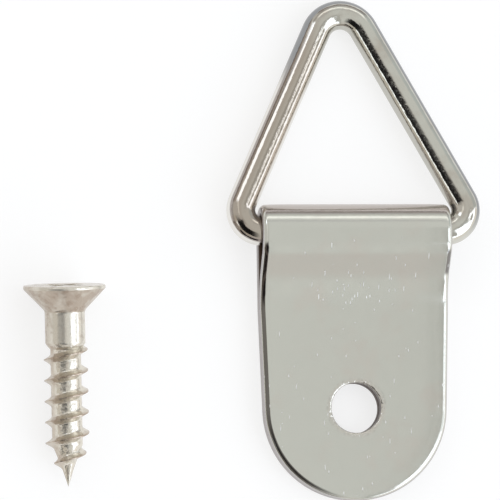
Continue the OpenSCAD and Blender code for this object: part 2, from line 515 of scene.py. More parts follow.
@dataclass(frozen=True)
class WireNickel:
    """Bright nickel plate on drawn wire: streaks along the wire, a fine sparkle and one browner length.

    The wire's coordinate has the place across it, outwards from the ring, and the length along it from
    its right end over the top bend. A pair says where something starts to show and where it shows in full.
    On the right leg and the top bend, the outer and the inner side carry painted shade. From the top bend
    on, the outer side carries painted shade, and on the left leg the rims carry painted highlights and the
    outer top a painted dark reflection.
    """

    name: str = "wire_nickel"
    coordinate: str = "wire_coord"
    tone: Colour = (0.645, 0.635, 0.575)
    brown: Colour = (0.515, 0.46, 0.395)
    # Painted shade on the outer side of the top bend and the left leg.
    side: Colour = (0.4, 0.36, 0.33)
    shade: Colour = (0.3, 0.305, 0.31)
    # Painted shade on the inner side of the right leg and the top bend.
    inner_side_shade: Colour = (0.53, 0.52, 0.475)
    # Painted highlight along the left leg's outer and inner rims.
    pale: Colour = (0.8, 0.78, 0.74)
    # Painted dark reflection along the left leg's outer top, narrowing its bright line.
    leg_dark_reflection: Colour = (0.2, 0.175, 0.15)
    right_from: Pair = (8.0, 10.0)
    # Where the wire turns browner, from the top bend on; the painted side shade and dark streak lie there
    # too.
    brown_length_from: Pair = (28.0, 34.0)
    left_from: Pair = (33.0, 37.0)
    cloud: Noise = Noise(0.5, 3.0)
    clouded: Ramp = (0.42, 0.7, 0.0, 0.6)
    # Span across the wire where the painted shade lies on the outer side.
    rubbed_band_and_side_shade: Pair = (0.72, 0.78)
    thin_low: Ramp = (34.0, 47.0, 0.5, 0.66)
    thin_soft: Pair = (0.0, 0.04)
    thin_high: Pair = (0.68, 0.62)
    bright_out: Pair = (0.94, 1.0)
    bright_in: Pair = (-0.9, -0.95)
    shaded: Pair = (0.74, 0.82)
    # Span across the wire where the painted shade lies on the inner side.
    inner_shade_span: Pair = (-0.85, -0.93)
    streaks: Noise = Noise((2.6, 2.6, 0.14), 1.5, depth=0.012)
    sparkle: Noise = Noise((4.0, 4.0, 2.2), 2.0, depth=0.009)
    dullness: Ramp = (0.3, 0.7, 0.06, 0.12)

    def material(self) -> bpy.types.Material:
        """Makes the finish.

        Returns:
            The new material.
        """
        material, graph = new_material(self.name)
        at = graph.attribute(self.coordinate, "Vector")
        out, _, along = graph.split(at)
        cloud = graph.ramp(graph.noise(at, self.cloud), *self.clouded)
        brown_length, left = graph.ramp(along, *self.brown_length_from), graph.ramp(along, *self.left_from)
        right = graph.all_of(graph.ramp(along, *self.right_from), graph.math("SUBTRACT", 1.0, left))
        over = graph.math("SUBTRACT", out, graph.ramp(along, *self.thin_low))
        thin = graph.all_of(graph.ramp(over, *self.thin_soft), brown_length, graph.ramp(out, *self.thin_high))
        bright = graph.any_of(graph.ramp(out, *self.bright_out), graph.ramp(out, *self.bright_in))
        colour = graph.paint(
            self.tone,
            (graph.any_of(cloud, brown_length), self.brown),
            # Painted shade on the outer side, from the top bend on.
            (graph.all_of(graph.ramp(out, *self.rubbed_band_and_side_shade), brown_length), self.side),
            # Painted dark reflection on the left leg's outer top.
            (thin, self.leg_dark_reflection),
            # Painted highlight on the left leg's rims.
            (graph.all_of(bright, left), self.pale),
            (graph.all_of(graph.ramp(out, *self.shaded), right), self.shade),
            # Painted shade on the inner side of the right leg and the top bend.
            (graph.all_of(graph.ramp(out, *self.inner_shade_span), right), self.inner_side_shade),
        )
        streaks = graph.relief(at, self.streaks)
        normal = graph.bumps(streaks, graph.relief(at, self.sparkle))
        graph.metal(colour, 1.0, graph.ramp(streaks[0], *self.dullness), normal)
        return material


@dataclass(frozen=True)
class ScrewNickel:
    """Thin nickel plate on a rolled screw: slightly warm, blotched, and browner on the thread's crests.

    The crest mark also holds the brown on the head's cone, and painted shade, laid on as brown, on the
    screw's sides that face away from above.
    """

    name: str = "screw_nickel"
    crest_mark: str = "crest"
    tone: Colour = (0.77, 0.725, 0.635)
    brown: Colour = (0.47, 0.38, 0.3)
    rolled_from: Pair = (5.3, 4.7)
    blotch: Noise = Noise(1.5, 4.0, 0.65)
    blotched: Ramp = (0.5, 0.75, 0.0, 0.6)
    drawn: Noise = Noise((1.7, 0.1, 1.7), 2.0)
    drawn_share: Ramp = (0.32, 0.56, 0.55, 1.0)
    # Share of brown from the crest mark: the thread's crests, the head's cone, and painted shade on the
    # sides.
    brown_and_side_shade: Pair = (0.2, 0.95)
    built_up: float = 0.07
    dents: Noise = Noise(1.8, 2.0, depth=0.012)
    rolling: Noise = Noise(3.2, 2.0, depth=0.035)
    grit: Noise = Noise(6.0, 2.0, depth=0.003)
    plating: Ramp = (0.35, 0.7, 0.68, 0.55)
    thread_plating: float = 0.18
    dullness: Ramp = (0.3, 0.75, 0.15, 0.28)

    def material(self) -> bpy.types.Material:
        """Makes the finish.

        Returns:
            The new material.
        """
        material, graph = new_material(self.name)
        at = graph.place()
        across, along, _ = graph.split(at)
        rolled = graph.ramp(along, *self.rolled_from)
        blotch, drawn = graph.noise(at, self.blotch), graph.noise(at, self.drawn)
        # Brown on crests and cone, and painted shade on the sides that face away from above.
        brown_and_side_shade = graph.ramp(graph.attribute(self.crest_mark), *self.brown_and_side_shade)
        streaked_brown_and_shade = graph.all_of(brown_and_side_shade, graph.ramp(drawn, *self.drawn_share))
        brown_and_shade_share = graph.math("ADD", graph.ramp(blotch, *self.blotched), streaked_brown_and_shade)
        colour = graph.paint(self.tone, (graph.math("MINIMUM", brown_and_shade_share, 1.0), self.brown))
        normal = graph.bumps(
            (across, self.built_up),
            graph.relief(at, self.dents),
            graph.relief(at, self.rolling, rolled),
            graph.relief(at, self.grit),
        )
        plated = graph.ramp(blotch, *self.plating)
        plated = graph.math("ADD", plated, graph.all_of(rolled, self.thread_plating))
        graph.metal(colour, plated, graph.ramp(blotch, *self.dullness), normal)
        return material


def hinge_line() -> Pair:
    """Returns the hinge line's place along the strap and its height, from the frame's joint."""
    place = next(joint["pos_m"] for joint in frame["joints"] if joint["name"] == "ring_swing")
    return place[1] / MM, place[2] / MM


def share_of(value: float, start: float, end: float) -> float:
    """Returns how far a value has come from a start to an end, from 0 to 1."""
    return min(1.0, max(0.0, (value - start) / (end - start)))


def arc(centre: Pair, radius: float, start: float, end: float, count: int) -> list[Pair]:
    """Lists points on a circular arc.

    Args:
        centre: The arc's centre.
        radius: Its radius.
        start: Its first angle, in degrees.
        end: Its last angle, in degrees.
        count: Its number of steps.

    Returns:
        The points, both ends among them.
    """
    angles = [math.radians(start + (end - start) * k / count) for k in range(count + 1)]
    return [(centre[0] + radius * math.cos(a), centre[1] + radius * math.sin(a)) for a in angles]


def bend(centre: Pair, radius: float, start: float, end: float, out: float, count: int) -> list[Station]:
    """Lists stations on a bend.

    Args:
        centre: The bend's centre.
        radius: Its radius.
        start: Its first angle, in degrees.
        end: Its last angle, in degrees.
        out: 1 where its normals point away from the centre, and -1 where they point to it.
        count: Its number of steps.

    Returns:
        The stations, each a place and its normal.
    """
    (u, v), turns = centre, arc((0.0, 0.0), 1.0, start, end, count)
    return [(u + radius * c, v + radius * s, out * c, out * s) for c, s in turns]


def run(start: Pair, end: Pair, normal: Pair) -> list[Station]:
    """Lists stations on a straight run, with one close to each end where there is room.

    Args:
        start: The run's first place.
        end: Its last place.
        normal: Its normal.

    Returns:
        The stations, each a place and its normal.
    """
    pad = 0.12
    (u, v), (du, dv) = start, (end[0] - start[0], end[1] - start[1])
    length = math.hypot(du, dv)
    shares = [0.0, 1.0] if length < 4 * pad else [0.0, pad / length, 0.5, 1 - pad / length, 1.0]
    return [(u + du * f, v + dv * f, *normal) for f in shares]


def add_grid(
    mesh: bmesh.types.BMesh,
    rows: Rows,
    closed: bool = False,
    mark: str = "",
    shares: list[float] | None = None,
) -> None:
    """Adds a sheet of quads between rows of points.

    Args:
        mesh: The mesh to add to.
        rows: Rows of equal length, in millimetres.
        closed: Whether each row's last point joins its first.
        mark: The name of a point attribute to fill, if any.
        shares: That attribute's values along a row.
    """
    verts = [[mesh.verts.new(p) for p in row] for row in rows]
    if shares is not None:
        layer = mesh.verts.layers.float[mark]
        for row in verts:
            for vert, share in zip(row, shares):
                vert[layer] = share
    count = len(rows[0])
    for here, there in zip(verts, verts[1:]):
        for k in range(count if closed else count - 1):
            n = (k + 1) % count
            mesh.faces.new((here[k], here[n], there[n], there[k]))


def weld(mesh: bmesh.types.BMesh) -> None:
    """Merges doubled points, drops faces without area and turns all faces outwards.

    Args:
        mesh: The mesh to clean, in millimetres.
    """
    same, none = 1e-4, 1e-5
    bmesh.ops.remove_doubles(mesh, verts=mesh.verts, dist=same)
    bmesh.ops.dissolve_degenerate(mesh, edges=mesh.edges, dist=none)
    bmesh.ops.recalc_face_normals(mesh, faces=mesh.faces)


def plain_mesh(name: str, mesh: bmesh.types.BMesh) -> bpy.types.Mesh:
    """Turns a working mesh, which is freed, into a named one.

    Args:
        name: The new mesh's name.
        mesh: The working mesh.

    Returns:
        The new mesh.
    """
    data = bpy.data.meshes.new(name)
    mesh.to_mesh(data)
    mesh.free()
    return data


def to_object(name: str, data: bpy.types.Mesh, place: Matrix, sharp: float) -> bpy.types.Object:
    """Makes a smooth-shaded object at the origin, with its place in its mesh.

    Args:
        name: The object's name.
        data: Its mesh, in millimetres.
        place: Its place, in millimetres.
        sharp: The angle past which an edge is sharp, in degrees.

    Returns:
        The new object, linked to the scene.
    """
    data.transform(Matrix.Scale(MM, 4) @ place)
    data.shade_smooth()
    data.set_sharp_from_angle(angle=math.radians(sharp))
    piece = bpy.data.objects.new(name, data)
    bpy.context.scene.collection.objects.link(piece)
    return piece


def evaluated(name: str, holder: bpy.types.Object) -> bpy.types.Mesh:
    """Keeps what an object's modifiers make of it, and removes the object.

    Args:
        name: The result's name.
        holder: The object.

    Returns:
        The finished mesh.
    """
    graph = bpy.context.evaluated_depsgraph_get()
    made = bpy.data.meshes.new_from_object(holder.evaluated_get(graph), depsgraph=graph)
    made.name = name
    seed = holder.data
    holder.modifiers.clear()
    bpy.data.objects.remove(holder)
    bpy.data.meshes.remove(seed)
    return made


def new_tree(name: str, sizes: Inputs) -> tuple[Graph, bpy.types.NodeOutputs]:
    """Starts a geometry tree with named inputs.

    Args:
        name: The tree's name.
        sizes: The inputs' values by name, after the geometry.

    Returns:
        The graph, and the outputs of its group input node.
    """
    kinds = {float: "NodeSocketFloat", int: "NodeSocketInt", bpy.types.Material: "NodeSocketMaterial"}
    tree = bpy.data.node_groups.new(name, "GeometryNodeTree")
    tree.is_modifier = True
    tree.interface.new_socket(name="Geometry", in_out="INPUT", socket_type="NodeSocketGeometry")
    for label, value in sizes.items():
        tree.interface.new_socket(name=label, in_out="INPUT", socket_type=kinds[type(value)])
    tree.interface.new_socket(name="Geometry", in_out="OUTPUT", socket_type="NodeSocketGeometry")
    graph = Graph(tree)
    return graph, graph.add("NodeGroupInput").outputs


def end_tree(graph: Graph, geometry: Socket, material: Socket) -> None:
    """Ends a geometry tree with smooth, real faces of one material.

    Args:
        graph: The tree's graph.
        geometry: The socket to send out.
        material: The group input's material socket.
    """
    smooth = graph.out("GeometryNodeSetShadeSmooth", {"Geometry": geometry})
    real = graph.out("GeometryNodeRealizeInstances", {"Geometry": smooth})
    dressed = graph.out("GeometryNodeSetMaterial", {"Geometry": real, "Material": material})
    graph.add("NodeGroupOutput", {"Geometry": dressed})


def grown(name: str, seed: bpy.types.Mesh, tree: bpy.types.NodeTree, sizes: Inputs) -> bpy.types.Mesh:
    """Runs a geometry tree on a mesh and keeps the result.

    Args:
        name: A name for the result.
        seed: The mesh that the tree starts from, which is removed.
        tree: The geometry tree.
        sizes: Values for its named inputs.

    Returns:
        The finished mesh.
    """
    holder = bpy.data.objects.new(name, seed)
    bpy.context.scene.collection.objects.link(holder)
    modifier = holder.modifiers.new(name, "NODES")
    modifier.node_group = tree
    for item in tree.interface.items_tree:
        if item.item_type == "SOCKET" and item.in_out == "INPUT" and item.name in sizes:
            modifier[item.identifier] = sizes[item.name]
    return evaluated(name, holder)


@dataclass
class FoldedStrap:
    """The sheet strap: two leaves, the joggle of the front one, the curl and the screw hole."""

    sheet: float = 0.9
    width: float = 15.1
    end_width: float = 14.6
    leaf_gap: float = 0.1
    shoulder: float = 0.95
    joggle_angle: float = 40.0
    joggle_r: float = 0.9
    foot_r: float = 4.2
    hole_r: float = 1.975
    lip: float = 0.13
    back_lip: float = 0.05
    lip_run: float = 1.4
    burr: float = 0.04
    bore_r: float = 1.23
    foot: float = 0.2
    crown: float = 0.03
    crown_run: float = 1.8
    shoulder_rise: float = 0.62
    sheared_from: Pair = (0.85, 0.35)
    inner_from: Pair = (0.45, 0.85)
    lip_wear: float = 0.6
    # The wall and inner marks lay painted shade on the screw hole's wall and the leaves' inner faces.
    wall_shade_mark: float = 1.65
    inner_shade_mark: float = 2.0
    side_places: tuple[float, ...] = (0.0, 0.15, 0.4, 0.7, 1.05, 1.4, 1.8)
    ray_shares: tuple[float, ...] = (
        1.0, 0.985, 0.95, 0.9, 0.82, 0.72, 0.58, 0.42, 0.27, 0.15, 0.07, 0.02, 0.0
    )
    middle_steps: int = 24
    side_steps: int = 16
    end_steps: int = 128
    edge_steps: int = 16
    lip_steps: int = 8
    foot_steps: int = 18
    joggle_steps: int = 12
    curl_steps: int = 48
    sharp: float = 50.0
    finish: SheetNickel = field(default_factory=SheetNickel)

    def __post_init__(self) -> None:
        """Works out the fold's stations and the leaf's taper."""
        self.edge_r = self.sheet / 2
        self.half = self.width / 2 - self.edge_r
        self.end_r = self.end_width / 2 - self.edge_r
        self.hinge_y, self.hinge_z = hinge_line()
        self.raised = self.hinge_z + self.bore_r
        self.front = self.sheet + self.leaf_gap
        turn = math.radians(self.joggle_angle)
        bends = self.joggle_r + self.foot_r + self.sheet
        drop = self.raised - self.front - bends * (1 - math.cos(turn))
        slope = drop / math.sin(turn)
        slope_y = self.hinge_y - self.shoulder - self.joggle_r * math.sin(turn)
        self.foot_y = slope_y - slope * math.cos(turn) - (self.foot_r + self.sheet) * math.sin(turn)
        self.leaf_y = self.foot_y - self.foot
        reach = math.hypot(self.half, self.leaf_y)
        self.taper = math.degrees(math.atan2(self.leaf_y, self.half) - math.acos(self.end_r / reach))

    def across(self) -> list[float]:
        """Lists the places across the flat sheet, closer together beside its rounded edges.

        Returns:
            The places from left to right.
        """
        side = [self.half - d for d in self.side_places]
        middle = [side[-1] * (2 * k / self.middle_steps - 1) for k in range(1, self.middle_steps)]
        return [*[-x for x in side], *middle, *reversed(side)]

    def sunk(self, x: float, y: float) -> float:
        """Works out how far the crowned face lies below its middle at a place on the leaf or the fold.

        Args:
            x: The place across the strap.
            y: The place along it, no further than the leaf's upper end.

        Returns:
            The depth.
        """
        tangent = math.radians(self.taper)
        reach = abs(x) * math.cos(tangent) + y * math.sin(tangent)
        if math.atan2(y, abs(x)) < tangent:
            reach = math.hypot(x, y)
        return self.crown * max(0.0, 1 - max(0.0, self.end_r - reach) / self.crown_run) ** 2

    def outline(self) -> list[Station]:
        """Lists the leaf's outline from right to left, along the middle line of its rounded edge.

        Returns:
            The stations, each a place and its outward normal.
        """
        lean_in = 3
        tangent = math.radians(self.taper)
        foot = (self.end_r * math.cos(tangent), self.end_r * math.sin(tangent))
        side = []
        for k in range(self.side_steps):
            share = k / self.side_steps
            x = self.half + (foot[0] - self.half) * share
            y = self.leaf_y + (foot[1] - self.leaf_y) * share
            lean = tangent * min(1.0, lean_in * share)
            side.append((x, y, math.cos(lean), math.sin(lean)))
        end = bend((0.0, 0.0), self.end_r, self.taper, -180 - self.taper, 1.0, self.end_steps)
        return side + end + [(-x, y, -nx, ny) for x, y, nx, ny in reversed(side)]

    def edge_turn(self) -> list[Pair]:
        """Lists the rounded edge's places from the outer face to the inner one.

        Returns:
            How far out of the flat sheet each place is, and how high above the sheet's middle.
        """
        low = 1 - self.crown / self.edge_r
        turn = arc((0.0, 0.0), self.edge_r, 90, -90, self.edge_steps)
        return [(o, h * low if h > 0 else h) for o, h in turn]

    def edge_wear_and_shade(self, out: float, height: float) -> float:
        """Works out the finish's edge mark.

        Args:
            out: How far out of the flat sheet the place is.
            height: How high it is above the sheet's middle.

        Returns:
            0 on the outer face, -1 on its shoulder, which carries painted dark reflections in places, 1 on
            the sheared edge and 2 on the inner face, which carries painted shade.
        """
        flat = 1e-6
        rise = height / self.edge_r
        if out < flat:
            return self.inner_shade_mark if height < 0 else 0.0
        if rise > self.shoulder_rise:
            return -1.0
        if rise < 0:
            return 1.0 + share_of(-rise, *self.inner_from)
        return share_of(rise, *self.sheared_from)

    def leaf_wear_and_shade(self) -> list[float]:
        """Lists the finish's edge mark along one of a leaf's rays.

        Returns:
            The marks on the outer face, the hole's wall and the inner face; the wall and the inner face carry
            painted shade.
        """
        count = len(self.ray_shares)
        wall = [self.lip_wear, self.wall_shade_mark, self.wall_shade_mark]
        return [0.0] * (count + self.lip_steps - 2) + wall + [self.inner_shade_mark] * count

    def leaf_rows(self, middle_z: float, up: float, lip: float) -> tuple[Rows, Rows]:
        """Lists a leaf's points ray by ray around the screw hole.

        Args:
            middle_z: The height of the leaf's middle plane.
            up: 1 where the leaf's outer face is its upper one, and -1 where it is the lower one.
            lip: How deep the hole's mouth is rounded in the outer face.

        Returns:
            The rows of the flat faces and the hole, and the rows of the rounded edge.
        """
        rim = self.outline()
        top = [(x, self.leaf_y) for x in self.across()[1:-1]]
        half = self.edge_r
        mouth, back = self.hole_r + self.lip_run * lip, self.hole_r + self.burr
        faces = []
        for x, y in [(x, y) for x, y, _, _ in rim] + top:
            far = math.hypot(x, y)
            cx, cy = x / far, y / far
            face = [mouth + (far - mouth) * f for f in self.ray_shares]
            profile = [(r, half - self.sunk(cx * r, cy * r)) for r in face]
            for k in range(1, self.lip_steps + 1):
                a = math.radians(90 * k / self.lip_steps)
                out = self.lip_run * lip * (1 - math.sin(a))
                profile.append((self.hole_r + out, half - lip * (1 - math.cos(a))))
            profile += [(self.hole_r, -half + self.burr), (back, -half)]
            profile += [(back + (far - back) * f, -half) for f in reversed(self.ray_shares[:-1])]
            faces.append([(cx * r, cy * r, middle_z + up * h) for r, h in profile])
        turn = self.edge_turn()
        edges = [[(x + nx * o, y + ny * o, middle_z + up * h) for o, h in turn] for x, y, nx, ny in rim]
        return faces, edges

    def stations(self) -> list[Station]:
        """Lists the fold's middle line from the front leaf over the curl to the back leaf.

        Returns:
            The stations, each a y, a z and the outer normal.
        """
        same = 1e-4
        half, turn = self.edge_r, self.joggle_angle
        front, raised = self.front + half, self.raised + half
        low = (self.foot_y, self.front + self.sheet + self.foot_r)
        high = (self.hinge_y - self.shoulder, self.raised - self.joggle_r)
        foot = bend(low, self.foot_r + half, -90, -90 + turn, -1.0, self.foot_steps)
        brow = bend(high, self.joggle_r + half, 90 + turn, 90, 1.0, self.joggle_steps)
        curl = bend((self.hinge_y, self.hinge_z), self.bore_r + half, 90, -90, 1.0, self.curl_steps)
        line = run((self.leaf_y, front), (self.foot_y, front), (0.0, 1.0)) + foot
        line += run(foot[-1][:2], brow[0][:2], foot[-1][2:]) + brow
        line += run((high[0], raised), (self.hinge_y, raised), (0.0, 1.0)) + curl
        line += run((self.hinge_y, half), (self.leaf_y, half), (0.0, -1.0))
        kept = [line[0]]
        for place in line[1:]:
            if math.dist(place[:2], kept[-1][:2]) > same:
                kept.append(place)
        return kept

    def build(self) -> bpy.types.Object:
        """Makes the strap as one closed piece.

        Returns:
            The strap.
        """
        mesh = bmesh.new()
        mark = self.finish.edge_mark
        mesh.verts.layers.float.new(mark)
        half = self.edge_r
        places, turn = self.across(), self.edge_turn()
        loop = [(x, half - self.sunk(x, self.leaf_y)) for x in places]
        loop += [(self.half + o, h) for o, h in turn[1:-1]]
        loop += [(x, -half) for x in reversed(places)]
        loop += [(-self.half - o, h) for o, h in reversed(turn[1:-1])]
        rows = [[(x, y + ny * h, z + nz * h) for x, h in loop] for y, z, ny, nz in self.stations()]
        wear_and_shade = [self.edge_wear_and_shade(abs(x) - self.half, h) for x, h in loop]
        add_grid(mesh, rows, closed=True, mark=mark, shares=wear_and_shade)
        rim_wear_and_shade = [min(1.0, self.edge_wear_and_shade(o, h)) for o, h in turn]
        for middle_z, up, lip in ((self.front + half, 1.0, self.lip), (half, -1.0, self.back_lip)):
            faces, edges = self.leaf_rows(middle_z, up, lip)
            add_grid(mesh, faces + faces[:1], mark=mark, shares=self.leaf_wear_and_shade())
            add_grid(mesh, edges, mark=mark, shares=rim_wear_and_shade)
        weld(mesh)
        name = "folded_strap"
        return to_object(name, plain_mesh(name, mesh), Matrix.Identity(4), self.sharp)

    def dress(self, piece: bpy.types.Object) -> None:
        """Gives the strap its finish and its place in the part.

        Args:
            piece: The strap.
        """
        piece.data.materials.append(self.finish.material())
        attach(piece, Body.STRAP.value)
        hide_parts("strap")


@dataclass
class TriangleRing:
    """The wire ring: its triangle of three bends, whose base runs through the strap's curl."""

    wire_r: float = 1.15
    base: float = 14.7
    left_angle: float = 65.5
    right_angle: float = 61.0
    corner_r: float = 1.65
    apex_r: float = 2.1
    butt_gap: float = 0.3
    sides: int = 64
    bend_steps: int = 24
    sharp: float = 50.0
    bend_mark: str = "bend"
    finish: WireNickel = field(default_factory=WireNickel)

    def __post_init__(self) -> None:
        """Takes the hinge line's place."""
        self.hinge_y, self.hinge_z = hinge_line()

    def corners(self) -> list[Point]:
        """Works out the triangle's path before its bends.

        Returns:
            The path's corners: x, distance from the hinge line, and bend radius.
        """
        left, right = math.radians(self.left_angle), math.radians(self.right_angle)
        x_left = -self.base / 2 - self.corner_r / math.tan(left / 2)
        x_right = self.base / 2 + self.corner_r / math.tan(right / 2)
        top = (x_right - x_left) / (1 / math.tan(left) + 1 / math.tan(right))
        return [
            (self.butt_gap / 2, 0.0, 0.0),
            (x_right, 0.0, self.corner_r),
            (x_left + top / math.tan(left), top, self.apex_r),
            (x_left, 0.0, self.corner_r),
            (-self.butt_gap / 2, 0.0, 0.0),
        ]

    def droop(self) -> float:
        """Works out how far the ring sinks until its upper bend lies on the surface.

        Returns:
            The angle about the hinge line, in radians.
        """
        top = self.corners()[2][1]
        half = math.radians(180 - self.left_angle - self.right_angle) / 2
        lean = half - math.radians(90 - self.left_angle)
        bend_centre = top - self.apex_r / math.sin(half) * math.cos(lean)
        return math.asin((self.hinge_z - self.wire_r) / (bend_centre + self.apex_r))

    def tree(self, sizes: Inputs) -> bpy.types.NodeTree:
        """Makes the geometry tree that rounds a path's corners and sweeps the wire along it.

        Args:
            sizes: The tree's inputs by name.

        Returns:
            The tree.
        """
        graph, size = new_tree("bent_wire", sizes)
        path = graph.out("GeometryNodeMeshToCurve", {"Mesh": size["Geometry"]})
        radius = graph.out("GeometryNodeInputNamedAttribute", {"Name": self.bend_mark}, data_type="FLOAT")
        bent = graph.out(
            "GeometryNodeFilletCurve",
            {"Curve": path, "Radius": radius, "Count": size["Bend steps"]},
            mode="POLY",
        )
        circle = graph.out(
            "GeometryNodeCurvePrimitiveCircle",
            {"Radius": size["Wire radius"], "Resolution": size["Sides"]},
        )
        length = graph.add("GeometryNodeSplineParameter").outputs["Length"]
        spot = graph.out("GeometryNodeInputPosition")
        held = []
        for curve, kind, value in ((bent, "FLOAT", length), (circle, "VECTOR", spot)):
            node = graph.add("GeometryNodeCaptureAttribute", {"Geometry": curve}, domain="POINT")
            node.capture_items.new(kind, "held")
            graph.feed(node.inputs[1], value)
            held.append(node.outputs)
        (line, along), (profile, around) = (outputs[:2] for outputs in held)
        swept = graph.out(
            "GeometryNodeCurveToMesh",
            {"Curve": line, "Profile Curve": profile, "Fill Caps": True},
        )
        out, up, _ = graph.split(around)
        stored = graph.out(
            "GeometryNodeStoreNamedAttribute",
            {
                "Geometry": swept,
                "Name": self.finish.coordinate,
                "Value": graph.out("ShaderNodeCombineXYZ", {"X": out, "Y": up, "Z": along}),
            },
            data_type="FLOAT_VECTOR",
            domain="POINT",
        )
        end_tree(graph, stored, size["Material"])
        return graph.tree

    def build(self) -> bpy.types.Object:
        """Makes the ring as one piece of wire, lying on the surface.

        Returns:
            The ring.
        """
        name = "triangle_wire"
        seed = bpy.data.meshes.new("ring_path")
        path = self.corners()
        seed.from_pydata([(x, y, 0.0) for x, y, _ in path], [(k, k + 1) for k in range(len(path) - 1)], [])
        bends = seed.attributes.new(self.bend_mark, "FLOAT", "POINT")
        bends.data.foreach_set("value", [r for _, _, r in path])
        sizes = {
            "Wire radius": self.wire_r,
            "Sides": self.sides,
            "Bend steps": self.bend_steps,
            "Material": self.finish.material(),
        }
        made = grown(name, seed, self.tree(sizes), sizes)
        hinge = Matrix.Translation((0.0, self.hinge_y, self.hinge_z))
        return to_object(name, made, hinge @ Matrix.Rotation(-self.droop(), 4, "X"), self.sharp)

    def dress(self, piece: bpy.types.Object) -> None:
        """Gives the ring its place in the part.

        Args:
            piece: The ring, which already has its finish.
        """
        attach(piece, Body.RING.value)
        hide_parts("triangle_ring")


